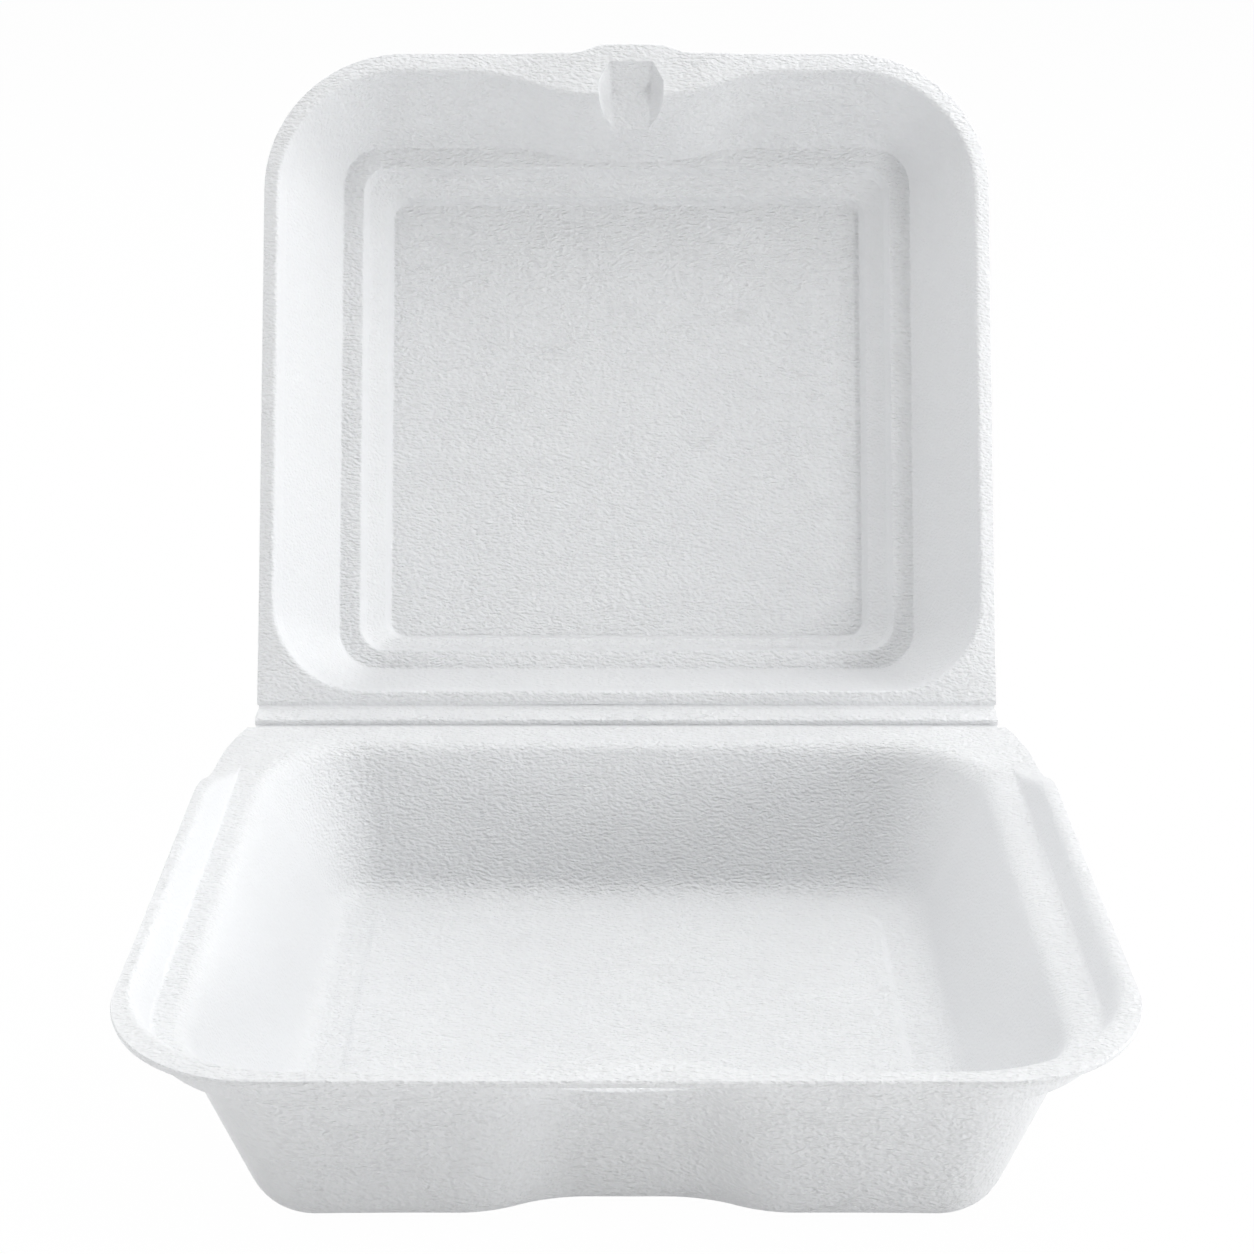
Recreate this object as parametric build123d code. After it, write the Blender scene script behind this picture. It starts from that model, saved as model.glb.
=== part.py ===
from build123d import *
from math import atan, cos, radians, sin, sqrt, tan
import os

# Hinged foam takeaway container, drawn open. Millimetres, +Z up, the front faces -Y.
# One formed foam sheet in three stiff pieces: tray, hinge web and lid, parted by two creases.
# Distances called "v" run from a crease towards the front edge of the tray or of the lid.

# sheet
T = 1.6                      # foam thickness
CLEAR = 0.25                 # half of the slit left at each crease

# levels of the tray
SHELF_Z = 37.4               # food side of the shelf and of the rear flange
RIM_Z = 44.5                 # top of the raised rim

# plan sizes of the tray; each inner size is taken from the one outside it
RIM_HALF = 102.5
RIM_FRONT = 181.2
RIM_CORNER = 33.0
REAR_HALF = RIM_HALF - 5.6   # half width at the crease
REAR_ARC_END = 28.0          # where the rear corner's arc runs into the straight side
RAMP_START = 25.0            # the side rim climbs from the shelf level to the rim level
RAMP_END = 58.0

BAND_HALF = RIM_HALF - 6.3   # foot of the upper wall, food side
BAND_FRONT = RIM_FRONT - 6.2
BAND_CORNER = 33.0
BAND_SLOPE_SIDE = 0.42
BAND_SLOPE_FRONT = 0.20

BOWL_HALF = BAND_HALF - 7.2  # lower wall where it reaches the shelf level, food side
BOWL_REAR = 14.0
BOWL_FRONT = BAND_FRONT - 6.5
BOWL_CORNER_FRONT = 22.0
BOWL_CORNER_REAR = 25.0
SLOPE_SIDE = 0.45
SLOPE_REAR = 0.377
SLOPE_FRONT = 0.16
FLOOR_CORNER = 10.5

RIM_ROUND = 3.0
SHELF_ROUND = 6.0
FOOT_ROUND = 7.5
ROUND_STEPS = 3              # flats in each large rounding
EDGE_STEPS = 2               # and in each small one

# floor panel, raised a little so the container stands on the border around it
PANEL_HALF = BOWL_HALF - 25.5
PANEL_REAR = BOWL_REAR + 24.0
PANEL_FRONT = BOWL_FRONT - 24.5
PANEL_CORNER = 7.0
PANEL_RAISE = 0.8
PANEL_RUN = 1.4              # width of the sloping edge of the panel

# the finger scallop in the middle of the front wall
DIP_FLAT = 8.0
DIP_RIM = 4.1
DIP_RIM_HALF = 28.0
DIP_FOOT = 6.5
DIP_FOOT_HALF = 34.0

# slot under the front rim for the lid's tab
SLOT_HALF = 14.0
SLIT_HALF = 24.0
SLIT_DROP = 2.6              # height of the slit beside the slot
SLOT_RUN = 10 * T            # how far the slot's cutter runs through the front wall

# the hinge: two V creases, pivots on the outer face of the sheet
WEB = 6.7                    # between the two pivots
GROOVE_ANGLE = 50.0          # each wall of a V, from upright
WEB_TILT = 25.3              # of the web in the photograph
LID_FOLD = 63.6              # of the lid from lying flat open
LATCH_X = 1.2                # the tab and lug sit a little to the right

# lid, measured from its own crease; depths are below its food side when it lies flat open
LID_HALF = REAR_HALF + 0.1
LID_FRONT = RIM_FRONT - 5.2
LID_CORNER = 37.0
TAB_PROUD = 2.3
TAB_FLAT = 6.5
TAB_HALF = 16.0

MOUTH_HALF = LID_HALF - 3.9
MOUTH_REAR = 4.4
MOUTH_FRONT = LID_FRONT - 5.2
MOUTH_CORNER_FRONT = 33.0
MOUTH_CORNER_REAR = 24.0
MOUTH_DIP = 6.6
MOUTH_DIP_FLAT = 7.0
MOUTH_DIP_HALF = 44.0

STEP_DEPTH = 22.0
STEP_HALF = MOUTH_HALF - 14.8
STEP_REAR = MOUTH_REAR + 7.1
STEP_FRONT = MOUTH_FRONT - 14.4
STEP_CORNER = 11.0
STEP_DIP = 3.9               # here the scallop nearly reaches across the step
STEP_DIP_HALF = 36.0
LEDGE = 5.7                  # width of the step
LEDGE_CORNER = 7.0

TOP_DEPTH = 32.0
TOP_HALF = STEP_HALF - 13.0
TOP_REAR = STEP_REAR + 9.8
TOP_FRONT = STEP_FRONT - 13.6
TOP_CORNER = 4.0

MOUTH_ROUND = 2.5
LEDGE_ROUND = 2.6

# lug: a wedge pushed outwards in the lid's scallop, over the tab
LUG_HALF_WIDE = 9.1
LUG_HALF_NARROW = 5.7
LUG_HALF_DEEP = 4.5
LUG_WIDEST = LID_FRONT - 10.5
LUG_REACH = LID_FRONT - 3.4
LUG_BACK = LID_FRONT - 21.0
LUG_DEPTH = 8.8
LUG_DEEP_FRONT = LUG_REACH - 13.0
LUG_DEEP_BACK = LUG_BACK - 2.0
LUG_EDGE = 1.0               # the lug's lower front edge is this much narrower
LUG_LEAD = 2.0

SPAN = 3 * RIM_HALF          # longer than the container each way, for cutting tools


def wall_offset(slope):
    """Horizontal thickness of a sheet leaning by this slope."""
    return T * sqrt(1 + slope * slope)


def ess(x0, y0, x1, y1):
    """Two equal arcs that leave and arrive parallel to X."""
    xm = (x0 + x1) / 2
    ym = (y0 + y1) / 2
    a = abs(xm - x0)
    b = abs(ym - y0)
    r = (a * a + b * b) / (2 * b)
    half = atan(b / a)
    sx = 1 if x1 > x0 else -1
    sy = 1 if y1 > y0 else -1
    across = r * sin(half)
    rise = r * (1 - cos(half))
    first = ThreePointArc((x0, y0), (x0 + sx * across, y0 + sy * rise), (xm, ym))
    second = ThreePointArc((xm, ym), (x1 - sx * across, y1 - sy * rise), (x1, y1))
    return [first, second]


def quarter(x0, y0, x1, y1, cx, cy):
    """Quarter arc between two points about a centre."""
    r = abs(x1 - cx) + abs(y1 - cy)
    mx = cx + r * sin(radians(45)) * (1 if (x0 + x1) / 2 > cx else -1)
    my = cy + r * sin(radians(45)) * (1 if (y0 + y1) / 2 > cy else -1)
    return ThreePointArc((x0, y0), (mx, my), (x1, y1))


def outline(z, sy, half, rear, front, r_rear, r_front, dip=0.0, dip_flat=0.0, dip_half=0.0):
    """Rounded rectangle at height z with an optional scallop in its front edge."""
    y0 = sy * rear
    y1 = sy * front
    yr = sy * (rear + r_rear)
    yf = sy * (front - r_front)
    edges = [Line((-half + r_rear, y0), (half - r_rear, y0))]
    edges.append(quarter(half - r_rear, y0, half, yr, half - r_rear, yr))
    edges.append(Line((half, yr), (half, yf)))
    edges.append(quarter(half, yf, half - r_front, y1, half - r_front, yf))
    if dip:
        yd = sy * (front - dip)
        edges.append(Line((half - r_front, y1), (dip_half, y1)))
        edges += ess(dip_half, y1, dip_flat, yd)
        edges.append(Line((dip_flat, yd), (-dip_flat, yd)))
        edges += ess(-dip_flat, yd, -dip_half, y1)
        edges.append(Line((-dip_half, y1), (-half + r_front, y1)))
    else:
        edges.append(Line((half - r_front, y1), (-half + r_front, y1)))
    edges.append(quarter(-half + r_front, y1, -half, yf, -half + r_front, yf))
    edges.append(Line((-half, yf), (-half, yr)))
    edges.append(quarter(-half, yr, -half + r_rear, y0, -half + r_rear, yr))
    return Pos(0, 0, z) * make_face(Wire(edges))


def round_off(h, r, slope):
    """Room that a rounding of radius r takes from a leaning wall, at height h from the level it meets."""
    lean = sqrt(1 + slope * slope)
    if h >= r * (1 - slope / lean):
        return 0
    return slope * (h - r) + r * lean - sqrt(r * r - (r - h) ** 2)


def round_heights(r, slope, steps):
    """Heights that divide such a rounding into equal turns, from the level itself upwards."""
    if r == 0:
        return [0]
    turn = radians(90) - atan(slope)
    return [r * (1 - cos(turn * k / steps)) for k in range(steps + 1)]


def between(a, b, share):
    return a + (b - a) * share


def tray_bowl(skin):
    """The tray's lower form: skin 0 gives the food side, 1 the outside."""
    low = T * (1 - skin)
    foot_round = FOOT_ROUND + skin * T
    lip_round = SHELF_ROUND * (1 - skin)
    levels = [low + h for h in round_heights(foot_round, SLOPE_FRONT, ROUND_STEPS)]
    levels += [SHELF_Z - h for h in reversed(round_heights(lip_round, SLOPE_FRONT, ROUND_STEPS))]
    sections = []
    for z in levels:
        down = SHELF_Z - z
        share = (z - low) / (SHELF_Z - low)

        def reach(slope):
            """How far a wall stands outside its line at the shelf level."""
            skin_room = skin * wall_offset(slope)
            rounding = round_off(down, lip_round, slope) - round_off(z - low, foot_round, slope)
            return skin_room - slope * down + rounding

        turn = reach(SLOPE_SIDE) + SLOPE_SIDE * down - skin * (wall_offset(SLOPE_SIDE) - T)
        sections.append(outline(
            z, -1, BOWL_HALF + reach(SLOPE_SIDE), BOWL_REAR - reach(SLOPE_REAR),
            BOWL_FRONT + reach(SLOPE_FRONT),
            between(FLOOR_CORNER, BOWL_CORNER_REAR, share) + turn,
            between(FLOOR_CORNER, BOWL_CORNER_FRONT, share) + turn,
            between(DIP_FOOT, DIP_RIM, share), DIP_FLAT, between(DIP_FOOT_HALF, DIP_RIM_HALF, share)))
    return loft(sections, ruled=True)


def tray_band(skin):
    """The upper wall's form, run past the crease so that it has no rear wall."""
    low = SHELF_Z - skin * T
    lip_round = RIM_ROUND * (1 - skin)
    levels = [low] + [RIM_Z - h for h in reversed(round_heights(lip_round, BAND_SLOPE_FRONT, EDGE_STEPS))]
    sections = []
    for z in levels:
        side_room = round_off(RIM_Z - z, lip_round, BAND_SLOPE_SIDE)
        front_room = round_off(RIM_Z - z, lip_round, BAND_SLOPE_FRONT)
        half = BAND_HALF + skin * wall_offset(BAND_SLOPE_SIDE) + BAND_SLOPE_SIDE * (z - SHELF_Z)
        front = BAND_FRONT + skin * wall_offset(BAND_SLOPE_FRONT) + BAND_SLOPE_FRONT * (z - SHELF_Z)
        sections.append(outline(z, -1, half + side_room, -RAMP_START, front + front_room, T,
                                BAND_CORNER + skin * T + side_room, DIP_RIM, DIP_FLAT, DIP_RIM_HALF))
    return loft(sections, ruled=True)


def rim_outline():
    """Outer edge of the tray in plan, narrowing in an arc to the crease."""
    r = (REAR_ARC_END ** 2 + (RIM_HALF - REAR_HALF) ** 2) / (2 * (RIM_HALF - REAR_HALF))
    mid = REAR_ARC_END / 2
    bulge = RIM_HALF - (r - sqrt(r * r - mid * mid))
    yf = -RIM_FRONT + RIM_CORNER
    xf = RIM_HALF - RIM_CORNER
    edges = [Line((-REAR_HALF, 0), (REAR_HALF, 0))]
    edges.append(ThreePointArc((REAR_HALF, 0), (bulge, -mid), (RIM_HALF, -REAR_ARC_END)))
    edges.append(Line((RIM_HALF, -REAR_ARC_END), (RIM_HALF, yf)))
    edges.append(quarter(RIM_HALF, yf, xf, -RIM_FRONT, xf, yf))
    edges.append(Line((xf, -RIM_FRONT), (-xf, -RIM_FRONT)))
    edges.append(quarter(-xf, -RIM_FRONT, -RIM_HALF, yf, -xf, yf))
    edges.append(Line((-RIM_HALF, yf), (-RIM_HALF, -REAR_ARC_END)))
    edges.append(ThreePointArc((-RIM_HALF, -REAR_ARC_END), (-bulge, -mid), (-REAR_HALF, 0)))
    return make_face(Wire(edges))


def ramp_curve(drop):
    """Side view of the rim's top, from the crease to the front, lowered by drop."""
    low = SHELF_Z - drop
    high = RIM_Z - drop
    edges = [Line((T, low), (-RAMP_START, low))]
    edges += ess(-RAMP_START, low, -RAMP_END, high)
    edges.append(Line((-RAMP_END, high), (-RIM_FRONT - T, high)))
    return edges


def across_x(edges):
    """Solid made by running a closed YZ outline across the whole width."""
    face = make_face(Wire(edges))
    upright = Plane(origin=(-SPAN / 2, 0, 0), x_dir=(0, 1, 0), z_dir=(1, 0, 0))
    return extrude(upright * face, amount=SPAN)


def crease_cutter(direction):
    """Bevel at a pivot on the outer face (height 0); the sheet lies along direction."""
    slope = tan(radians(GROOVE_ANGLE))
    foot = direction * CLEAR
    head = direction * (CLEAR + slope * 2 * T)
    back = -direction * SPAN / 4
    pts = [(foot, -T), (foot, 0), (head, 2 * T), (back, 2 * T), (back, -T)]
    edges = [Line(a, b) for a, b in zip(pts, pts[1:] + pts[:1])]
    return across_x(edges)


def panel_form(level, grow):
    """Low block with sloping edges that lifts the middle of the floor."""
    half = PANEL_HALF + grow
    rear = PANEL_REAR - grow
    front = PANEL_FRONT + grow
    foot = outline(level - PANEL_RAISE, -1, half + PANEL_RUN, rear - PANEL_RUN, front + PANEL_RUN,
                   PANEL_CORNER, PANEL_CORNER)
    head = outline(level + PANEL_RAISE, -1, half - PANEL_RUN, rear + PANEL_RUN, front - PANEL_RUN,
                   PANEL_CORNER, PANEL_CORNER)
    return loft([foot, head], ruled=True)


def tab_slot():
    """Opening under the front rim: a slot in the middle with a lower slit at each end."""
    top = RIM_Z - T
    mid = -BAND_FRONT
    slot = Pos(0, mid, (SHELF_Z + top) / 2) * Box(2 * SLOT_HALF, SLOT_RUN, top - SHELF_Z)
    slit = Pos(0, mid, top - SLIT_DROP / 2) * Box(2 * SLIT_HALF, SLOT_RUN, SLIT_DROP)
    return slot + slit


def build_tray():
    rim_prism = extrude(rim_outline(), amount=RIM_Z + T)
    front = -RIM_FRONT - T
    plate = across_x(ramp_curve(0) + [Line((front, RIM_Z), (front, RIM_Z - T))]
                     + ramp_curve(T) + [Line((T, SHELF_Z - T), (T, SHELF_Z))])
    below = across_x(ramp_curve(0) + [Line((front, RIM_Z), (front, 0)), Line((front, 0), (T, 0)),
                                      Line((T, 0), (T, SHELF_Z))])
    body = tray_band(1) & below & rim_prism
    body += plate & rim_prism
    body += tray_bowl(1)

    sky = Pos(0, -RIM_HALF, RIM_Z + T) * Box(SPAN, SPAN, 2 * T)
    food = sky + tray_band(0) + tray_bowl(0)

    tray = body - food
    tray += panel_form(T, 0) & extrude(floor_face(T - PANEL_RAISE / 2), amount=PANEL_RAISE * 1.5)
    tray -= panel_form(0, 0.4) & extrude(floor_face(-1), amount=PANEL_RAISE + 1)
    tray -= tab_slot()
    tray -= Pos(0, 0, SHELF_Z - T) * crease_cutter(-1)
    return tray


def floor_face(z):
    return Pos(0, -RIM_HALF, z) * Rectangle(SPAN, SPAN)


def build_web():
    """The strip between the creases, drawn flat behind the lower pivot."""
    slope = tan(radians(GROOVE_ANGLE))
    lean = CLEAR + slope * T
    pts = [(CLEAR, 0), (WEB - CLEAR, 0), (WEB - lean, T), (lean, T)]
    edges = [Line(a, b) for a, b in zip(pts, pts[1:] + pts[:1])]
    return across_x(edges) & Box(2 * REAR_HALF, 4 * WEB, 4 * WEB)


def lid_outline(z):
    """Edge of the lid lying open behind its crease, with square rear corners and a front tab."""
    yf = LID_FRONT - LID_CORNER
    xf = LID_HALF - LID_CORNER
    tip = LID_FRONT + TAB_PROUD
    left = LATCH_X - TAB_HALF
    right = LATCH_X + TAB_HALF
    edges = [Line((-LID_HALF, 0), (LID_HALF, 0)), Line((LID_HALF, 0), (LID_HALF, yf))]
    edges.append(quarter(LID_HALF, yf, xf, LID_FRONT, xf, yf))
    edges.append(Line((xf, LID_FRONT), (right, LID_FRONT)))
    edges += ess(right, LID_FRONT, LATCH_X + TAB_FLAT, tip)
    edges.append(Line((LATCH_X + TAB_FLAT, tip), (LATCH_X - TAB_FLAT, tip)))
    edges += ess(LATCH_X - TAB_FLAT, tip, left, LID_FRONT)
    edges.append(Line((left, LID_FRONT), (-xf, LID_FRONT)))
    edges.append(quarter(-xf, LID_FRONT, -LID_HALF, yf, -xf, yf))
    edges.append(Line((-LID_HALF, yf), (-LID_HALF, 0)))
    return Pos(0, 0, z) * make_face(Wire(edges))


def slope_between(upper, lower, depth):
    return abs(upper - lower) / depth


def lid_wall(skin):
    """First wall of the lid, from its mouth down to the step."""
    side = slope_between(MOUTH_HALF, STEP_HALF, STEP_DEPTH)
    rear = slope_between(MOUTH_REAR, STEP_REAR, STEP_DEPTH)
    front = slope_between(MOUTH_FRONT, STEP_FRONT, STEP_DEPTH)
    low = STEP_DEPTH + skin * T
    lip_round = MOUTH_ROUND * (1 - skin)
    depths = [low] + [h for h in reversed(round_heights(lip_round, rear, EDGE_STEPS))]
    sections = []
    for d in depths:
        def reach(slope):
            return skin * wall_offset(slope) - slope * d + round_off(d, lip_round, slope)

        share = d / low
        turn = skin * T + round_off(d, lip_round, side)
        sections.append(outline(
            -d, 1, MOUTH_HALF + reach(side), MOUTH_REAR - reach(rear), MOUTH_FRONT + reach(front),
            between(MOUTH_CORNER_REAR, STEP_CORNER, share) + turn,
            between(MOUTH_CORNER_FRONT, STEP_CORNER, share) + turn,
            between(MOUTH_DIP, STEP_DIP, share), MOUTH_DIP_FLAT,
            between(MOUTH_DIP_HALF, STEP_DIP_HALF, share)))
    return loft(sections, ruled=True)


def lid_top(skin):
    """Second wall of the lid, from the step down to the flat top panel."""
    height = TOP_DEPTH - STEP_DEPTH
    half = STEP_HALF - LEDGE
    back = STEP_REAR + LEDGE * 0.9
    front = STEP_FRONT - LEDGE
    side_slope = slope_between(half, TOP_HALF, height)
    rear_slope = slope_between(back, TOP_REAR, height)
    front_slope = slope_between(front, TOP_FRONT, height)
    low = height + skin * T
    lip_round = LEDGE_ROUND * (1 - skin)
    depths = [low] + [h for h in reversed(round_heights(lip_round, rear_slope, EDGE_STEPS))]
    sections = []
    for d in depths:
        def reach(slope):
            return skin * wall_offset(slope) - slope * d + round_off(d, lip_round, slope)

        corner = between(LEDGE_CORNER, TOP_CORNER, d / low) + skin * T + round_off(d, lip_round, side_slope)
        sections.append(outline(-STEP_DEPTH - d, 1, half + reach(side_slope), back - reach(rear_slope),
                                front + reach(front_slope), corner, corner))
    return loft(sections, ruled=True)


def lug_form(skin):
    """Wedge behind the tab, wide at the lid's flange and running out down the scallop."""
    g = skin * T
    x = LATCH_X
    wide = LUG_HALF_WIDE + g
    narrow = LUG_HALF_NARROW + g
    low = LUG_HALF_DEEP + g
    top = [(x - wide, LUG_WIDEST), (x - narrow, LUG_REACH + g), (x + narrow, LUG_REACH + g),
           (x + wide, LUG_WIDEST), (x + wide, LUG_BACK), (x - wide, LUG_BACK)]
    deep = [(x - low, LUG_DEEP_FRONT - LUG_LEAD), (x - low + LUG_EDGE, LUG_DEEP_FRONT + g),
            (x + low - LUG_EDGE, LUG_DEEP_FRONT + g), (x + low, LUG_DEEP_FRONT - LUG_LEAD),
            (x + low, LUG_DEEP_BACK), (x - low, LUG_DEEP_BACK)]
    faces = []
    for z, pts in ((-LUG_DEPTH - g, deep), (0, top)):
        loop = [Line(a, b) for a, b in zip(pts, pts[1:] + pts[:1])]
        faces.append(Pos(0, 0, z) * make_face(Wire(loop)))
    return loft(faces, ruled=True)


def build_lid():
    """The lid lying flat open: its food side is at height 0 and faces up."""
    body = extrude(lid_outline(-T), amount=T)
    body += lid_wall(1)
    body += lid_top(1)
    body += lug_form(1)

    sky = Pos(0, RIM_HALF, T) * Box(SPAN, SPAN, 2 * T)
    food = sky + lid_wall(0) + lid_top(0) + lug_form(0)
    lid = body - food
    lid -= Pos(0, 0, -T) * crease_cutter(1)
    return lid


def pose(shape, angle, y, z):
    """Turn a piece drawn flat about its pivot and put the pivot in place."""
    return Pos(0, y, z) * Rot(X=angle) * shape


def hinge_points():
    """Lower and upper pivots in the photographed pose, as (y, z)."""
    up = radians(WEB_TILT)
    low = (0, SHELF_Z - T)    # on the outer face of the tray's rear flange
    return low, (low[0] + WEB * cos(up), low[1] + WEB * sin(up))


if __name__ == "__main__":
    low, high = hinge_points()
    pieces = {
        "tray": build_tray(),
        "hinge_web": pose(build_web(), WEB_TILT, *low),
        "lid": pose(Pos(0, 0, T) * build_lid(), LID_FOLD, *high),
    }
    # the frame's origin: under the middle of the whole open container
    back = max(p.bounding_box().max.Y for p in pieces.values())
    front = min(p.bounding_box().min.Y for p in pieces.values())
    shift = -(back + front) / 2
    os.makedirs("parts", exist_ok=True)
    for name, piece in pieces.items():
        placed = Pos(0, shift, 0) * piece
        print(name, round(placed.volume), placed.is_valid, len(placed.solids()), placed.bounding_box())
        export_step(placed, "parts/" + name + ".step")
    print("lower pivot y, z", low[0] + shift, low[1])
    print("upper pivot y, z", high[0] + shift, high[1])
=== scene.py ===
from math import cos, pi, radians, sin, sqrt, tan

import bmesh
import bpy
from mathutils import Matrix, Vector


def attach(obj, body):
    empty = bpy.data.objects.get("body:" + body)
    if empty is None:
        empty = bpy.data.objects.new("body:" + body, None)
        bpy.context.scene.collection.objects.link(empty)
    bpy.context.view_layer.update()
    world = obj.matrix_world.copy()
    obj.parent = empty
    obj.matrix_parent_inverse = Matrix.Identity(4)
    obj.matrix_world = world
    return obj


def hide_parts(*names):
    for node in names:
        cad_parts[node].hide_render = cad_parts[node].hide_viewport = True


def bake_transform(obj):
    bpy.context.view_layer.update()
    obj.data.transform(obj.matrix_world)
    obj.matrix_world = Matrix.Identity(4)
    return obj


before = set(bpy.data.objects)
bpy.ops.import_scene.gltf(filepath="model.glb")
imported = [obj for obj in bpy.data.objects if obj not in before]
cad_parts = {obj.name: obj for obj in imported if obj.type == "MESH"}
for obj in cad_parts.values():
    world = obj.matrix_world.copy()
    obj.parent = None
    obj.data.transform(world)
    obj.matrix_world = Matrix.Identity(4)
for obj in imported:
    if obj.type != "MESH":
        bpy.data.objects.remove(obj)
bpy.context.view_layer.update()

# A hinged foam takeaway container, standing open. Sizes are in millimetres, as in the solid model.
# The foam sheet is one skin with two faces: the food side and the outside, a thickness apart.
# "v" is a distance from a crease towards the front edge of the tray or of the lid.

MM = 0.001

T = 1.6                      # foam thickness
SLIT = 0.25                  # half of the slit at the foot of a crease

SHELF_Z = 37.4
RIM_Z = 44.5
RIM_HALF = 102.5
RIM_FRONT = 181.2
RIM_CORNER = 33.0
REAR_HALF = 96.9
REAR_ARC_END = 28.0
RAMP_START = 25.0
RAMP_END = 58.0
BAND_HALF = 96.2
BAND_FRONT = 175.0
BAND_CORNER = 33.0
BAND_SLOPE_SIDE = 0.42
BAND_LEAST = 0.15            # keeps the band's two lines apart where it has run out, behind the ramps
BAND_SLOPE_FRONT = 0.20
BAND_CLEAR = 0.35            # least distance from the upper wall to the tray's edge
BOWL_HALF = 89.0
BOWL_REAR = 14.0
BOWL_FRONT = 168.5
BOWL_CORNER_FRONT = 22.0
BOWL_CORNER_REAR = 25.0
SLOPE_SIDE = 0.45
SLOPE_REAR = 0.377
SLOPE_FRONT = 0.16
FLOOR_CORNER = 10.5
PANEL_HALF = 63.5
PANEL_REAR = 38.0
PANEL_FRONT = 144.0
PANEL_CORNER = 7.0
PANEL_RAISE = 0.8
FLOOR_CAP = 6                # the floor's closing face lies this far inside the panel's edge
DIP_FLAT = 8.0
DIP_RIM = 4.1
DIP_RIM_HALF = 28.0
DIP_FOOT = 6.5
DIP_FOOT_HALF = 34.0
SLOT_HALF = 14.0
SLIT_HALF = 24.0
SLIT_DROP = 2.6
SLIT_BACK = 167              # the slit's cut runs from inside the front wall to beyond the rim
SLIT_AHEAD = 183
SLIT_SOFT = 0.4              # its corners
SLOT_STATIONS = (167.5, 169.5, 170.2, 170.9, 171.6, 172.2, 172.8, 173.6, 175.0)
SLOT_FALL_START = 169.5      # where the slot's floor starts to fall, towards the outside
SLOT_FALL_RUN = 3
SLOT_LIP_ENDS = 1.5          # how much less it falls at its two ends
SLOT_FLOOR_GAP = 0.03        # keeps its floor off the shelf's own face

WEB = 6.7
WEB_TILT = 25.3
LID_FOLD = 63.6
LOWER_PIVOT = (41.3207, 35.8)
UPPER_PIVOT = (47.3780, 38.6633)

LID_HALF = 97.0
LID_FRONT = 176.0
LID_CORNER = 37.0
LATCH_X = 1.2
TAB_PROUD = 2.3
TAB_FLAT = 6.5
TAB_HALF = 16.0
MOUTH_HALF = 93.1
MOUTH_REAR = 4.4
MOUTH_FRONT = 170.8
MOUTH_CORNER_FRONT = 33.0
MOUTH_CORNER_REAR = 24.0
MOUTH_DIP = 6.6
MOUTH_DIP_FLAT = 7.0
MOUTH_DIP_HALF = 44.0
STEP_DEPTH = 22.0
STEP_HALF = 78.3
STEP_REAR = 11.5
STEP_FRONT = 156.4
STEP_CORNER = 11.0
STEP_DIP = 3.9
STEP_DIP_HALF = 36.0
LEDGE = 5.7
LEDGE_CORNER = 7.0
LEDGE_REAR = 0.9             # share of the ledge's width that it has at the rear
TOP_DEPTH = 32.0
TOP_HALF = 65.3
TOP_REAR = 21.3
TOP_FRONT = 142.8
TOP_CORNER = 4.0
LID_CAP = 4                  # the lid's closing face lies this far inside the top panel's edge

LUG_HALF_WIDE = 8.7
LUG_HALF_NARROW = 5.9
LUG_HALF_DEEP = 4.9
LUG_REACH = 173.5
LUG_BACK = 155.0
LUG_DEPTH = 11.5
LUG_DEEP_FRONT = 158.8
LUG_FACET = 5.3              # its widest place is this far behind its front
LUG_DROP = 1.2               # the steep start of its front
LUG_LEVELS = (LUG_DEPTH, 9.5, 7.5, 5.5, 3.5, LUG_DROP, 0)
LUG_SWELL = 0.4              # how much wider than its front it still is at its deepest
LUG_FACET_LOSS = 0.6         # share of LUG_FACET that is lost by then
LUG_BACK_LEAN = 2            # its back runs this far back on the way down

# how the die-cut edges and the crushed creases differ from the plain solid model
EDGE_LEAN = 0.35             # the die leans the cut edge in by this much
CREASE_TRAY = 3.8            # where the crushed foam of each crease ends, on the food side
CREASE_LID = 1.6
WEB_LOW = 1.0
WEB_HIGH = 2.6
CREASE_FALL = 0.7            # how far the crushed edge lies below the sheet's face
SLOT_LIP = 1.0               # how far the slot's floor falls from the inside to the outside
ROLL = 1.1                   # the lid's flange is rolled: its edge lies this far below its crest
ROLL_START = 4               # distance from the crease where the roll starts, and its run up
ROLL_RUN = 14
ROLL_TAB = 19                # half width that stays flat at the tab
ROLL_FRONT = 20              # how far behind the front edge the tab still counts
STEEP_MOUTH = 4.0            # depth of the steep start of the lid's first wall
STEEP_MOUTH_RUN = 0.12       # share of its width that this takes
STEEP_WALL = 0.32            # share of the second wall's depth that is steep at each end
STEEP_RUN = 0.17             # share of its width that this takes

# radii of the corners in the sheet's section
FOOT_ROUND = 7.5
SHELF_ROUND = 6.0
RIM_ROUND = 3.0
MOUTH_ROUND = 1.3
LEDGE_ROUND = 0.7

# the thin skin at the foot of a crease
SKIN_REACH = 0.9             # to either side of the pivot
SKIN_LOW = 0.02
SKIN_HIGH = 0.34
SKIN_INSET = 0.3             # its ends stay inside the sheet's

SLIVER = 0.01                # points of a cut nearer than this become one
SOFT_ANGLE = 40              # edges up to this many degrees are shaded as one surface
SIDE_FADE = 0.7              # share of its grain that a wall facing sideways has lost

# the foam's surface, in metres
WRINKLE = 0.0006             # distance between the skin's wrinkles
PATCH = 0.012                # size of the patches in which they run
PATCH_SHOVE = 0.0025         # how far a patch moves them
MOTTLE = 0.035               # size of the slow mottling

# how many points each stretch of half an outline gets
REAR_N, TURN_N, SIDE_N, FRONT_N, DIP_N, FLAT_N = 10, 20, 30, 8, 14, 4


def spread(a, b, n):
    """n places from a towards b, without b."""
    return [a + (b - a) * k / n for k in range(n)]


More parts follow.
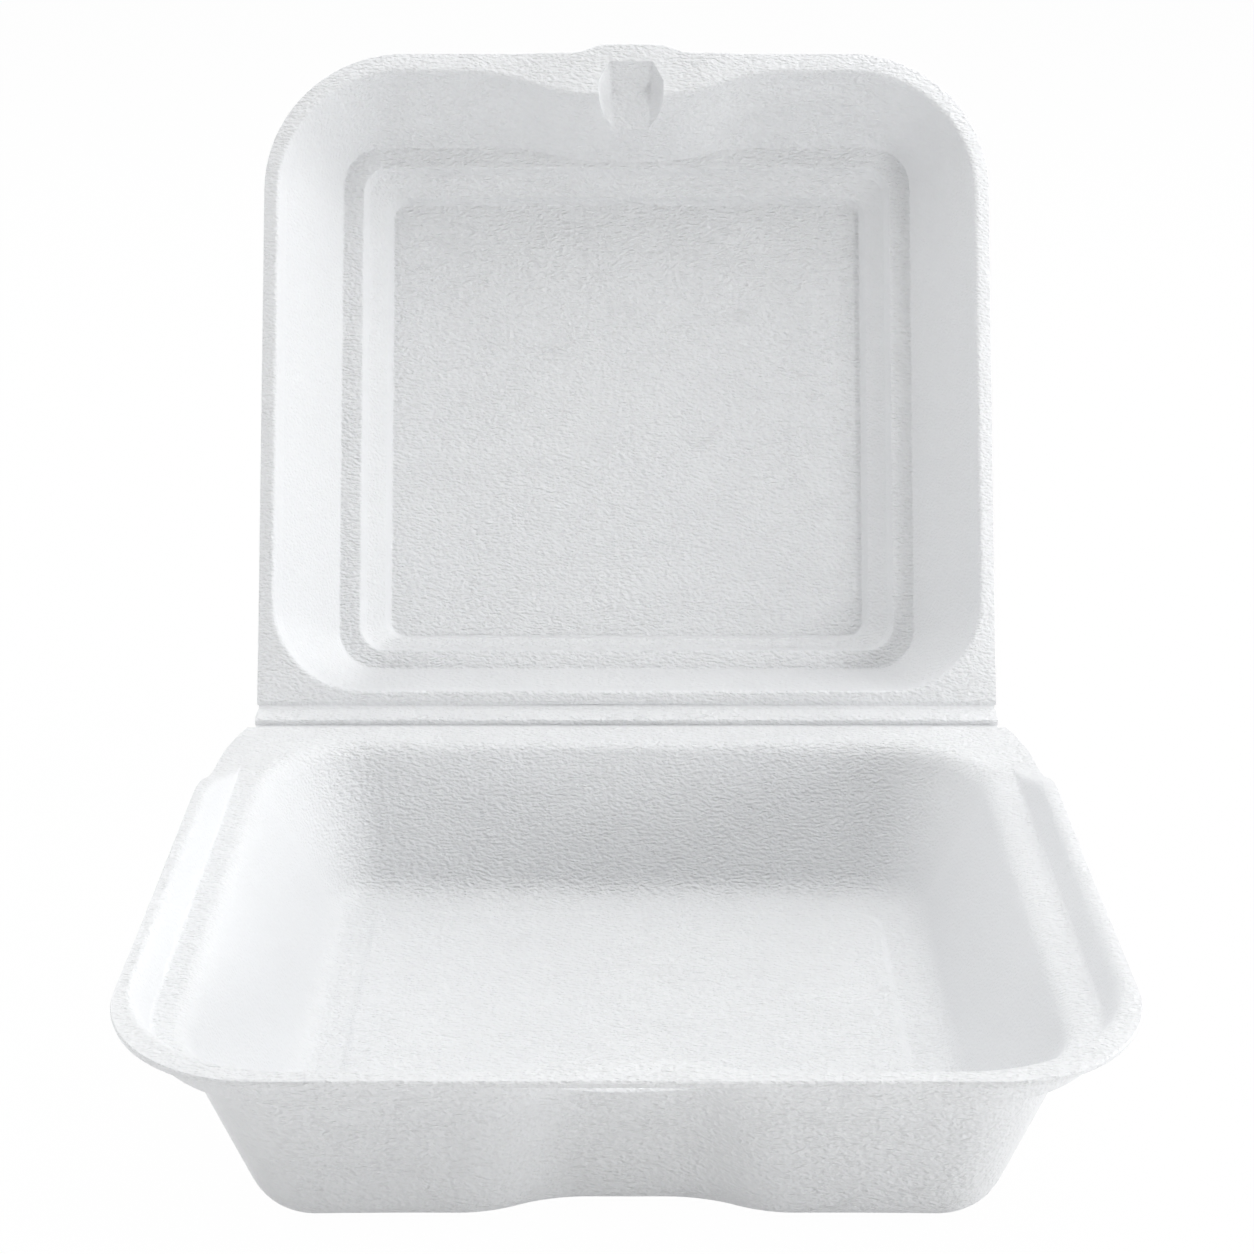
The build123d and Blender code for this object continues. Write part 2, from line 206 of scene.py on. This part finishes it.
def dip_share(share):
    """Depth of the scallop, 0 to 1, along its side: two equal arcs."""
    s = min(max(share, 0.0), 1.0)
    return 2 * s * s if s < 0.5 else 1 - 2 * (1 - s) ** 2


def outline(half, rear, front, rear_turn, front_turn, dip=0.0, dip_flat=8.0, dip_half=30.0,
            square=False, side=None, tab=None):
    """Points (x, v) round one level of the sheet, from the middle of the rear edge to the right."""
    pts = [(x, rear) for x in spread(0, half - rear_turn, REAR_N)]
    for k in range(TURN_N):
        if square:
            first = TURN_N // 2
            if k < first:
                pts.append((half - rear_turn * (1 - k / first), rear))
            else:
                pts.append((half, rear + rear_turn * (k - first) / (TURN_N - first)))
        else:
            a = pi / 2 * k / TURN_N
            pts.append((half - rear_turn * (1 - sin(a)), rear + rear_turn * (1 - cos(a))))
    for v in spread(rear + rear_turn, front - front_turn, SIDE_N):
        pts.append((half, v))
    for k in range(TURN_N):
        a = pi / 2 * k / TURN_N
        pts.append((half - front_turn * (1 - cos(a)), front - front_turn * (1 - sin(a))))
    xs = spread(half - front_turn, dip_half, FRONT_N) + spread(dip_half, dip_flat, DIP_N)
    xs += spread(dip_flat, 0, FLAT_N) + [0]
    for x in xs:
        pts.append((x, front - dip * dip_share((dip_half - x) / (dip_half - dip_flat))))
    if side:
        limit = [(x if x < half - 1e-6 else side(v), v) for x, v in pts]
        pts = [(min(x, side(v)), v) for x, v in limit]
    ring = pts + [(-x, v) for x, v in reversed(pts[1:-1])]
    if tab:
        # only the points of the front edge
        ring = [(x, v + (tab(x) if v > front - 0.01 else 0)) for x, v in ring]
    return ring


def rim_side(v):
    """Half width of the tray's edge at v: it narrows in an arc towards the crease."""
    if v >= REAR_ARC_END:
        return RIM_HALF
    narrow = RIM_HALF - REAR_HALF
    r = (REAR_ARC_END ** 2 + narrow ** 2) / (2 * narrow)
    return RIM_HALF - (r - sqrt(r * r - (REAR_ARC_END - v) ** 2))


def ramp(v):
    """Height of the tray's edge at v: it climbs from the shelf level to the rim level."""
    return SHELF_Z + (RIM_Z - SHELF_Z) * dip_share((v - RAMP_START) / (RAMP_END - RAMP_START))


def lean(slope):
    """Width of the sheet, measured level, in a wall with this slope."""
    return T * sqrt(1 + slope * slope)


def level(pts, z):
    return [Vector((x, v, z(v) if callable(z) else z)) for x, v in pts]


def rounded(corners):
    """Sections of the sheet from its corner outlines: each is (points, radius, steps)."""
    count = len(corners[0][0])
    stations = []
    for s in range(count):
        line = [c[0][s] for c in corners]
        path = []
        for i, (_, radius, steps) in enumerate(corners):
            p = line[i]
            if i == 0 or i == len(corners) - 1 or steps == 0:
                path.append(p)
                continue
            back = line[i - 1] - p
            ahead = line[i + 1] - p
            turn = pi - back.angle(ahead, pi)
            room = min(radius * tan(min(turn, 2.9) / 2), 0.46 * back.length, 0.46 * ahead.length)
            room = max(room, 0.02)
            a = p + back.normalized() * room
            b = p + ahead.normalized() * room
            for k in range(steps + 1):
                u = k / steps
                path.append(a * (1 - u) ** 2 + p * 2 * u * (1 - u) + b * u * u)
        stations.append(path)
    return [[path[i] for path in stations] for i in range(len(stations[0]))]


def deselect():
    if bpy.context.object and bpy.context.object.mode != "OBJECT":
        bpy.ops.object.mode_set(mode="OBJECT")
    bpy.ops.object.select_all(action="DESELECT")


def loop_by_loop(name, loops, place):
    """Sets a circle of the first loop's points in place and extrudes it loop by loop, both ends closed."""
    deselect()
    bpy.ops.mesh.primitive_circle_add(vertices=len(loops[0]), radius=1)
    obj = bpy.context.object
    obj.name = obj.data.name = name
    bpy.ops.object.mode_set(mode="EDIT")
    bm = bmesh.from_edit_mesh(obj.data)
    station = bm.verts.layers.int.new("station")
    bm.verts.ensure_lookup_table()
    walk = bm.verts[0]
    came = None
    for i in range(len(loops[0])):
        walk[station] = i
        ahead = [e.other_vert(walk) for e in walk.link_edges if e.other_vert(walk) is not came]
        came, walk = walk, ahead[0]
    for v in bm.verts:
        v.co = place @ loops[0][v[station]]
    bpy.ops.mesh.select_all(action="SELECT")
    bpy.ops.mesh.edge_face_add()
    bpy.ops.mesh.select_all(action="SELECT")
    for loop in loops[1:]:
        bpy.ops.mesh.extrude_edges_move()
        bm = bmesh.from_edit_mesh(obj.data)
        station = bm.verts.layers.int["station"]
        for v in bm.verts:
            if v.select:
                v.co = place @ loop[v[station]]
    bpy.ops.mesh.edge_face_add()
    bpy.ops.mesh.select_all(action="SELECT")
    bpy.ops.mesh.normals_make_consistent(inside=False)
    bpy.ops.object.mode_set(mode="OBJECT")
    obj.data.attributes.remove(obj.data.attributes["station"])
    return obj


def combine(obj, tool, operation):
    """Boolean with a tool that is then removed."""
    modifier = obj.modifiers.new("cut", "BOOLEAN")
    modifier.operation = operation
    modifier.object = tool
    modifier.solver = "EXACT"
    deselect()
    bpy.context.view_layer.objects.active = obj
    obj.select_set(True)
    bpy.ops.object.modifier_apply(modifier="cut")
    bpy.data.objects.remove(tool)
    bpy.ops.object.mode_set(mode="EDIT")
    bpy.ops.mesh.select_all(action="SELECT")
    bpy.ops.mesh.remove_doubles(threshold=SLIVER * MM)
    bpy.ops.object.mode_set(mode="OBJECT")


def smooth(obj):
    deselect()
    bpy.context.view_layer.objects.active = obj
    obj.select_set(True)
    bpy.ops.object.shade_smooth_by_angle(angle=radians(SOFT_ANGLE))
    # wide faces keep their own direction, and the small faces of the roundings carry the turn
    weighted = obj.modifiers.new("weighted", "WEIGHTED_NORMAL")
    weighted.keep_sharp = True
    bpy.ops.object.modifier_apply(modifier="weighted")


def finish_piece(obj, body, material):
    grain = obj.data.attributes.new("grain", "FLOAT", "POINT")
    for corner in obj.data.vertices:
        # the form stretched the side walls most, which took their wrinkles out
        grain.data[corner.index].value = 1 - SIDE_FADE * abs(corner.normal.x)
    obj.data.materials.clear()
    obj.data.materials.append(material)
    if body:
        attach(obj, body)


def to_row(turn_deg, pivot, toward_front):
    """Matrix from a piece's own millimetres (x, v, height) to the row frame in metres."""
    flip = Matrix.Diagonal((1, -1 if toward_front else 1, 1, 1))
    turn = Matrix.Rotation(radians(turn_deg), 4, "X")
    shift = Matrix.Translation((0, pivot[0], pivot[1]))
    return Matrix.Scale(MM, 4) @ shift @ turn @ flip


# materials

def hex_linear(code):
    parts = [int(code[i:i + 2], 16) / 255 for i in (1, 3, 5)]
    return [c / 12.92 if c <= 0.04045 else ((c + 0.055) / 1.055) ** 2.4 for c in parts] + [1.0]


def node(tree, kind, settings=None, links=None, **inputs):
    """Adds a node; inputs are values by socket name, links are (socket, from node, from socket)."""
    n = tree.nodes.new(kind)
    for key, value in (settings or {}).items():
        setattr(n, key, value)
    for key, value in inputs.items():
        n.inputs[key.replace("_", " ")].default_value = value
    for socket, source, out in links or []:
        tree.links.new(source.outputs[out], n.inputs[socket])
    return n


def foam_sheet(name, grain):
    """Polystyrene foam sheet, heat-formed: cool white, satin, with a fine leathery grain."""
    mat = bpy.data.materials.new(name)
    mat.use_nodes = True
    tree = mat.node_tree
    shader = tree.nodes["Principled BSDF"]
    at = node(tree, "ShaderNodeTexCoord")
    # the skin's wrinkles run across the sheet and in patches, and fade where it was stretched
    drift = node(tree, "ShaderNodeTexNoise", None, [("Vector", at, "Object")], Scale=1 / PATCH, Detail=1.0)
    shove = node(tree, "ShaderNodeVectorMath", {"operation": "SCALE"}, [(0, drift, "Color")])
    shove.inputs["Scale"].default_value = PATCH_SHOVE
    moved = node(tree, "ShaderNodeVectorMath", {"operation": "ADD"},
                 [(0, at, "Object"), (1, shove, "Vector")])
    turned = node(tree, "ShaderNodeMapping", None, [("Vector", moved, "Vector")])
    turned.inputs["Rotation"].default_value = (0.15, 0.1, 0.15)
    turned.inputs["Scale"].default_value = (0.5, 1.0, 1.0)
    wrinkle = node(tree, "ShaderNodeTexNoise", None, [("Vector", turned, "Vector")],
                   Scale=1 / WRINKLE, Detail=1.0, Roughness=0.4)
    stretched = node(tree, "ShaderNodeAttribute", {"attribute_name": "grain"})
    bump = node(tree, "ShaderNodeBump", None, [("Height", wrinkle, "Fac"), ("Strength", stretched, "Fac")],
                Distance=grain * MM)
    # slow mottling, where the sheet was stretched over the form
    cloud = node(tree, "ShaderNodeTexNoise", None, [("Vector", at, "Object")], Scale=1 / MOTTLE, Detail=2.0)
    tint = node(tree, "ShaderNodeMix", {"data_type": "RGBA"}, [("Factor", cloud, "Fac")])
    tint.inputs["A"].default_value = hex_linear("#E5E6E8")
    tint.inputs["B"].default_value = hex_linear("#E9EAEB")
    tree.links.new(tint.outputs["Result"], shader.inputs["Base Color"])
    tree.links.new(bump.outputs["Normal"], shader.inputs["Normal"])
    shader.inputs["Roughness"].default_value = 0.5
    shader.inputs["IOR"].default_value = 1.5
    return mat


foam = foam_sheet("expanded polystyrene sheet", grain=0.75)
crushed = foam_sheet("polystyrene crushed at the crease", grain=0.4)


# tray

def bowl_outline(z, low, skin, extra=0.0):
    down = SHELF_Z - z
    share = (z - low) / (SHELF_Z - low)
    side = skin * lean(SLOPE_SIDE) - SLOPE_SIDE * down
    rear = skin * lean(SLOPE_REAR) - SLOPE_REAR * down
    front = skin * lean(SLOPE_FRONT) - SLOPE_FRONT * down
    return outline(BOWL_HALF + side, BOWL_REAR - rear, BOWL_FRONT + front,
                   FLOOR_CORNER + (BOWL_CORNER_REAR - FLOOR_CORNER) * share + skin * T,
                   FLOOR_CORNER + (BOWL_CORNER_FRONT - FLOOR_CORNER) * share + skin * T,
                   DIP_FOOT + (DIP_RIM - DIP_FOOT) * share, DIP_FLAT,
                   DIP_FOOT_HALF + (DIP_RIM_HALF - DIP_FOOT_HALF) * share)


def panel_outline(grow):
    return outline(PANEL_HALF + grow, PANEL_REAR - grow, PANEL_FRONT + grow, PANEL_CORNER, PANEL_CORNER,
                   0, DIP_FLAT, DIP_FOOT_HALF)


def band_level(rear, skin, rise):
    """Outline of the upper wall where it stands rise(v) above the shelf."""
    flat = outline(BAND_HALF, rear, BAND_FRONT, BOWL_CORNER_REAR, BAND_CORNER,
                   DIP_RIM, DIP_FLAT, DIP_RIM_HALF, square=True)
    side = skin * lean(BAND_SLOPE_SIDE)
    front = skin * lean(BAND_SLOPE_FRONT)
    pts = []
    for x, v in flat:
        up = rise(v)
        sign = 1 if x > 0 else -1
        # share of the front's slope: none along the sides, all of it along the front, mixed in the corner
        turn = min(max((v - (BAND_FRONT - BAND_CORNER)) / BAND_CORNER, 0.0), 1.0)
        across = sqrt(max(1 - turn * turn, 0.0))
        if abs(x) < BAND_HALF - BAND_CORNER:
            turn, across = 1.0, 0.0
        if v < RAMP_START and abs(x) < BAND_HALF - 1e-6:
            turn, across = 0.0, 0.0
        out_x = (side + BAND_SLOPE_SIDE * up) * across
        out_v = (front + BAND_SLOPE_FRONT * up) * turn
        x2 = x + sign * out_x
        x2 = sign * min(abs(x2), rim_side(v) - BAND_CLEAR)
        pts.append((x2, v + out_v))
    return pts


def rim_level(rear, inset=0.0):
    return outline(RIM_HALF - inset, rear, RIM_FRONT - inset, BOWL_CORNER_REAR, RIM_CORNER, 0, DIP_FLAT,
                   DIP_RIM_HALF, square=True, side=lambda v: rim_side(v) - inset)


def band_rise(v):
    """How far the upper wall stands above the shelf at v."""
    return max(ramp(v) - SHELF_Z, BAND_LEAST)


def rim_under(v):
    """Height of the edge's underside at v."""
    return ramp(v) - T


def tray_loops():
    # behind the ramps the upper wall has run out, and its lines lie spread over the rear flange
    corners = [
        (level(panel_outline(-FLOOR_CAP), T + PANEL_RAISE), 0, 0),
        (level(panel_outline(-1.3), T + PANEL_RAISE), 1.6, 3),
        (level(panel_outline(0.2), T), 1.6, 3),
        (level(bowl_outline(T, T, 0), T), FOOT_ROUND, 8),
        (level(bowl_outline(SHELF_Z, T, 0), SHELF_Z), SHELF_ROUND, 7),
        (level(band_level(9.0, 0, lambda v: 0), SHELF_Z), 1.3, 4),
        (level(band_level(5.5, 0, band_rise), ramp), RIM_ROUND, 5),
        (level(rim_level(CREASE_TRAY), ramp), 0.3, 1),
        (level(rim_level(SLIT, EDGE_LEAN), rim_under), 0.25, 1),
        (level(band_level(4.0, 1, lambda v: band_rise(v) - T), rim_under), 1.0, 3),
        (level(band_level(7.0, 1, lambda v: -T), SHELF_Z - T), 0.35, 2),
        (level(bowl_outline(SHELF_Z - T, 0, 1), SHELF_Z - T), 1.6, 4),
        (level(bowl_outline(0, 0, 1), 0), FOOT_ROUND + T, 8),
        (level(panel_outline(0.4), 0), 0.8, 3),
        (level(panel_outline(-1.0), PANEL_RAISE), 0.8, 3),
        (level(panel_outline(-FLOOR_CAP), PANEL_RAISE), 0, 0),
    ]
    return rounded(corners)


def slot_tool():
    """The tab's slot; its floor falls towards the outside, most in the middle."""
    loops = []
    top = RIM_Z - T - SLIT_DROP / 2             # the slit above it takes the rest
    for v in SLOT_STATIONS:
        fall = (max(v - SLOT_FALL_START, 0) / SLOT_FALL_RUN) ** 2
        loop = []
        for x in spread(-SLOT_HALF, SLOT_HALF, 16) + [SLOT_HALF]:
            side = (x / SLOT_HALF) ** 2
            drop = fall * (SLOT_LIP - SLOT_LIP_ENDS * side)
            loop.append(Vector((x, v, SHELF_Z + SLOT_FLOOR_GAP - drop)))
        loops.append(loop + [Vector((SLOT_HALF, v, top)), Vector((-SLOT_HALF, v, top))])
    return loop_by_loop("slot", loops, tray_place)


def box_tool(x, v0, v1, z0, z1):
    """A cutting block in the tray's millimetres."""
    deselect()
    bpy.ops.mesh.primitive_cube_add(size=1, location=(0, (LOWER_PIVOT[0] - (v0 + v1) / 2) * MM,
                                                      (z0 + z1) / 2 * MM))
    tool = bpy.context.object
    tool.scale = (2 * x * MM, (v1 - v0) * MM, (z1 - z0) * MM)
    bpy.ops.object.transform_apply(location=True, rotation=False, scale=True)
    bpy.ops.object.mode_set(mode="EDIT")
    bpy.ops.mesh.select_all(action="SELECT")
    bpy.ops.mesh.bevel(offset=SLIT_SOFT * MM, segments=2, affect="EDGES")
    bpy.ops.object.mode_set(mode="OBJECT")
    return tool


tray_place = to_row(0, (LOWER_PIVOT[0], 0), True)
tray = loop_by_loop("tray_sheet", tray_loops(), tray_place)
combine(tray, slot_tool(), "DIFFERENCE")
combine(tray, box_tool(SLIT_HALF, SLIT_BACK, SLIT_AHEAD, RIM_Z - T - SLIT_DROP, RIM_Z - T), "DIFFERENCE")
smooth(tray)
finish_piece(tray, "tray", foam)
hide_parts("tray")


# lid, drawn lying open with its outside face at height 0 at the crease

def lid_level(depth, skin, upper, lower, span):
    """Outline of a lid wall at a depth; upper and lower are its outlines' sizes, span deep."""
    u, w = upper, lower
    share = depth / span
    sizes = []
    for key in ("half", "rear", "front"):
        slope = abs(u[key] - w[key]) / span
        sign = -1 if key == "rear" else 1
        sizes.append(u[key] + (w[key] - u[key]) * share + sign * skin * lean(slope))
    rest = [u[k] + (w[k] - u[k]) * share for k in ("rear_turn", "front_turn", "dip", "dip_half")]
    return outline(sizes[0], sizes[1], sizes[2], rest[0] + skin * T, rest[1] + skin * T,
                   rest[2], MOUTH_DIP_FLAT, rest[3])


MOUTH = {"half": MOUTH_HALF, "rear": MOUTH_REAR, "front": MOUTH_FRONT, "rear_turn": MOUTH_CORNER_REAR,
         "front_turn": MOUTH_CORNER_FRONT, "dip": MOUTH_DIP, "dip_half": MOUTH_DIP_HALF}
STEP = {"half": STEP_HALF, "rear": STEP_REAR, "front": STEP_FRONT, "rear_turn": STEP_CORNER,
        "front_turn": STEP_CORNER, "dip": STEP_DIP, "dip_half": STEP_DIP_HALF}
BROW = {"half": STEP_HALF - LEDGE, "rear": STEP_REAR + LEDGE * LEDGE_REAR, "front": STEP_FRONT - LEDGE,
        "rear_turn": LEDGE_CORNER, "front_turn": LEDGE_CORNER, "dip": 0, "dip_half": STEP_DIP_HALF}
TOP = {"half": TOP_HALF, "rear": TOP_REAR, "front": TOP_FRONT, "rear_turn": TOP_CORNER,
       "front_turn": TOP_CORNER, "dip": 0, "dip_half": STEP_DIP_HALF}
TOP_INSET = {k: v + {"half": -LID_CAP, "rear": LID_CAP, "front": -LID_CAP}.get(k, 0)
             for k, v in TOP.items()}


def tab_reach(x):
    return TAB_PROUD * dip_share((TAB_HALF - abs(x - LATCH_X)) / (TAB_HALF - TAB_FLAT))


def lid_edge(rear):
    return outline(LID_HALF, rear, LID_FRONT, MOUTH_CORNER_REAR, LID_CORNER, 0, MOUTH_DIP_FLAT,
                   MOUTH_DIP_HALF, square=True, tab=tab_reach)


def rolled(v, x):
    """How far the flange's edge lies below its crest: not at the crease nor at the tab."""
    along = dip_share((v - ROLL_START) / ROLL_RUN)
    latch = dip_share((abs(x - LATCH_X) - ROLL_TAB) / ROLL_RUN) if v > LID_FRONT - ROLL_FRONT else 1
    return ROLL * along * latch


def lid_rim(rear, height, crushed):
    fall = [CREASE_FALL * crushed * (1 - dip_share((v - ROLL_START) / ROLL_RUN))
            for _, v in lid_edge(rear)]
    return [Vector((x, v, height - rolled(v, x) - f)) for (x, v), f in zip(lid_edge(rear), fall)]


def lid_loops():
    rise = TOP_DEPTH - STEP_DEPTH
    food = T
    steep = STEEP_MOUTH_RUN * STEP_DEPTH
    mouth = [
        (level(lid_level(steep, 0, MOUTH, STEP, STEP_DEPTH), food - STEEP_MOUTH), 2.0, 4),
        (level(lid_level(0, 0, MOUTH, STEP, STEP_DEPTH), food), MOUTH_ROUND, 6),
    ]
    second = []
    for run, depth, radius in ((1, 1, 0.7), (1 - STEEP_RUN, 1 - STEEP_WALL, 0.8),
                               (STEEP_RUN, STEEP_WALL, 0.8), (0, 0, LEDGE_ROUND)):
        second.append((level(lid_level(run * rise, 0, BROW, TOP, rise), food - STEP_DEPTH - depth * rise),
                       radius, 4))
    corners = [(level(lid_level(0, 0, TOP_INSET, TOP_INSET, 1), food - TOP_DEPTH), 0, 0)] + second
    corners.append((level(lid_level(STEP_DEPTH, 0, MOUTH, STEP, STEP_DEPTH), food - STEP_DEPTH), 0.7, 3))
    corners += mouth
    corners += [
        (lid_rim(CREASE_LID, food, 1), 0.3, 1),
        (lid_rim(SLIT, 0, 0), 0.25, 1),
        (level(lid_level(0, 1, MOUTH, STEP, STEP_DEPTH), 0), 1.0, 3),
        (level(lid_level(steep, 1, MOUTH, STEP, STEP_DEPTH), -STEEP_MOUTH), 2.0, 3),
        (level(lid_level(STEP_DEPTH + T, 1, MOUTH, STEP, STEP_DEPTH), -STEP_DEPTH), 3.0, 5),
        (level(lid_level(T, 1, BROW, TOP, rise), -STEP_DEPTH), 1.4, 4),
        (level(lid_level(rise + T, 1, BROW, TOP, rise), -TOP_DEPTH), 3.4, 5),
        (level(lid_level(0, 0, TOP_INSET, TOP_INSET, 1), -TOP_DEPTH), 0, 0),
    ]
    return rounded(corners)


def soften(obj, width, segments):
    """Rounds an object's sharp edges."""
    deselect()
    bpy.context.view_layer.objects.active = obj
    obj.select_set(True)
    bevel = obj.modifiers.new("soft edges", "BEVEL")
    bevel.width = width * MM
    bevel.segments = segments
    bevel.limit_method = "ANGLE"
    bpy.ops.object.modifier_apply(modifier="soft edges")


def lug_tool(skin, up, softness):
    """The lug's wedge: skin 0 is its hollow, 1 its outside; up is how far it runs above the flange."""
    g = skin * T
    loops = []
    # only levels deeper than the last one, or the wedge would fold back on itself
    for depth in [d for d in LUG_LEVELS if d > -up] + [-up]:
        share = max(depth, 0) / LUG_DEPTH
        fall = max(depth - LUG_DROP, 0) / (LUG_DEPTH - LUG_DROP)
        front = LUG_REACH + (LUG_DEEP_FRONT - LUG_REACH) * fall
        narrow = LUG_HALF_NARROW + (LUG_HALF_DEEP - LUG_HALF_NARROW) * share
        swell = (LUG_HALF_WIDE - LUG_HALF_DEEP - LUG_SWELL) * (1 - share ** 2)
        wide = LUG_HALF_DEEP + LUG_SWELL + swell
        widest = front - LUG_FACET * (1 - LUG_FACET_LOSS * share)
        back = LUG_BACK - LUG_BACK_LEAN * share
        z = T - depth - g * share
        loops.append([Vector((LATCH_X + x, v, z)) for x, v in (
            (-wide - g, widest), (-narrow - g, front + g), (narrow + g, front + g), (wide + g, widest),
            (wide + g, back), (-wide - g, back))])
    tool = loop_by_loop("lug", loops, lid_place)
    soften(tool, softness, segments=3)
    return tool


def hollow_tool(low, high):
    """The lid's hollow up to the middle of its sheet, from one depth to another."""
    return loop_by_loop("hollow", [level(lid_level(d, 0.5, MOUTH, STEP, STEP_DEPTH), T - d)
                                   for d in (low, high)], lid_place)


lid_place = to_row(LID_FOLD, UPPER_PIVOT, False)
lid = loop_by_loop("lid_sheet", lid_loops(), lid_place)
lug = lug_tool(1, up=-0.7, softness=1.2)
combine(lug, hollow_tool(low=16, high=-4), "DIFFERENCE")
combine(lid, lug, "UNION")
combine(lid, lug_tool(0, up=1.5, softness=0.5), "DIFFERENCE")
smooth(lid)
finish_piece(lid, "lid", foam)
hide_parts("lid")


# hinge web: the strip between the two creases
def web_loops():
    low = [(SLIT, 0), (WEB - SLIT, 0), (WEB_HIGH, T), (WEB_LOW, T)]
    loops = []
    for x in spread(-REAR_HALF, REAR_HALF, 24) + [REAR_HALF]:
        loops.append([Vector((x, v, z)) for v, z in low])
    return loops


web = loop_by_loop("hinge_web_sheet", web_loops(), to_row(WEB_TILT, LOWER_PIVOT, False))
soften(web, width=0.3, segments=2)
smooth(web)
finish_piece(web, "hinge_web", foam)
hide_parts("hinge_web")


def crease_skin(name, pivot, angle):
    """The thin crushed foam left at the foot of a crease; it stands at the angle it is given, between the
    two pieces.
    """
    loops = []
    ring = [(-SKIN_REACH, SKIN_LOW), (SKIN_REACH, SKIN_LOW),
            (SKIN_REACH, SKIN_HIGH), (-SKIN_REACH, SKIN_HIGH)]
    end = REAR_HALF - SKIN_INSET
    for x in spread(-end, end, 12) + [end]:
        loops.append([Vector((x, v, z)) for v, z in ring])
    place = to_row(angle, pivot, False)
    skin = loop_by_loop(name, loops, place)
    smooth(skin)
    finish_piece(skin, None, crushed)
    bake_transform(skin)


crease_skin("lower_crease_skin", LOWER_PIVOT, WEB_TILT / 2)
crease_skin("upper_crease_skin", UPPER_PIVOT, (WEB_TILT + LID_FOLD) / 2)


# floor, light and camera

def background_rays(tree):
    """1 for the rays that see the white background: from the camera, in reflections and through glass."""
    path = node(tree, "ShaderNodeLightPath")
    mirrored = node(tree, "ShaderNodeMath", {"operation": "MAXIMUM"},
                    [(0, path, "Is Camera Ray"), (1, path, "Is Glossy Ray")])
    return node(tree, "ShaderNodeMath", {"operation": "MAXIMUM"},
                [(0, mirrored, 0), (1, path, "Is Transmission Ray")])


deselect()
bpy.ops.mesh.primitive_plane_add(size=6)
floor = bpy.context.object
floor.name = "floor"
ground = bpy.data.materials.new("white sweep")
ground.use_nodes = True
tree = ground.node_tree
tree.nodes.clear()
paper = node(tree, "ShaderNodeBsdfDiffuse", Color=hex_linear("#F2F2F2"))
glow = node(tree, "ShaderNodeEmission", Color=(1, 1, 1, 1), Strength=1.0)
faint = node(tree, "ShaderNodeMath", {"operation": "MULTIPLY"}, [(0, background_rays(tree), 0)])
faint.inputs[1].default_value = 0.985        # the rest shows the object's shadow
mixed = node(tree, "ShaderNodeMixShader", None, [(0, faint, 0), (1, paper, 0), (2, glow, 0)])
node(tree, "ShaderNodeOutputMaterial", None, [("Surface", mixed, 0)])
floor.data.materials.append(ground)

world = bpy.data.worlds.new("studio")
bpy.context.scene.world = world
world.use_nodes = True
tree = world.node_tree
tree.nodes.clear()
soft = node(tree, "ShaderNodeBackground", Color=(1, 1, 1, 1), Strength=0.0)
white = node(tree, "ShaderNodeBackground", Color=(1, 1, 1, 1), Strength=1.0)
mixed = node(tree, "ShaderNodeMixShader", None,
             [(0, background_rays(tree), 0), (1, soft, 0), (2, white, 0)])
node(tree, "ShaderNodeOutputWorld", None, [("Surface", mixed, 0)])


LAMP_DISTANCE = 1.4
LAMP_AIM = Vector((0, 0, 0.05))


def lamp(name, toward, size, power):
    """A round softbox in the direction named by toward, seen from the container."""
    data = bpy.data.lights.new(name, "AREA")
    data.shape = "DISK"
    data.size = size
    data.energy = power
    obj = bpy.data.objects.new(name, data)
    bpy.context.scene.collection.objects.link(obj)
    direction = Vector(toward).normalized()
    obj.location = LAMP_AIM + direction * LAMP_DISTANCE
    obj.rotation_euler = direction.to_track_quat("Z", "Y").to_euler()


lamp("overhead", (0, 0.03, 1), 0.9, 4.6)
lamp("overhead front", (0, -0.5, 1), 0.9, 2.9)
lamp("overhead right", (0.5, 0.1, 1), 0.9, 5.5)
lamp("back right", (0.75, 0.75, 1), 0.9, 5.7)
lamp("back left", (-0.75, 0.75, 1), 0.9, 5.7)
lamp("side right", (1, -0.1, 0.35), 0.9, 6.0)
lamp("side left", (-1, -0.1, 0.35), 0.9, 4.2)
lamp("low front right", (0.75, -0.75, 0.105), 0.34, 6.0)
lamp("low front left", (-0.75, -0.75, 0.105), 0.34, 2.8)

# the camera, fitted to the photograph's perspective
SENSOR = 36
FOCAL_PIXELS = 2300
PHOTO_PIXELS = 1254
CAMERA_AT = (0.0001, -0.50678, 0.2812)
CAMERA_DOWN = 21.63          # degrees below level

camera_data = bpy.data.cameras.new("camera")
camera_data.sensor_width = SENSOR
camera_data.lens = SENSOR * FOCAL_PIXELS / PHOTO_PIXELS
camera = bpy.data.objects.new("camera", camera_data)
bpy.context.scene.collection.objects.link(camera)
camera.location = CAMERA_AT
camera.rotation_euler = (radians(90 - CAMERA_DOWN), 0, 0)
bpy.context.scene.camera = camera
bpy.context.scene.view_settings.view_transform = "Standard"
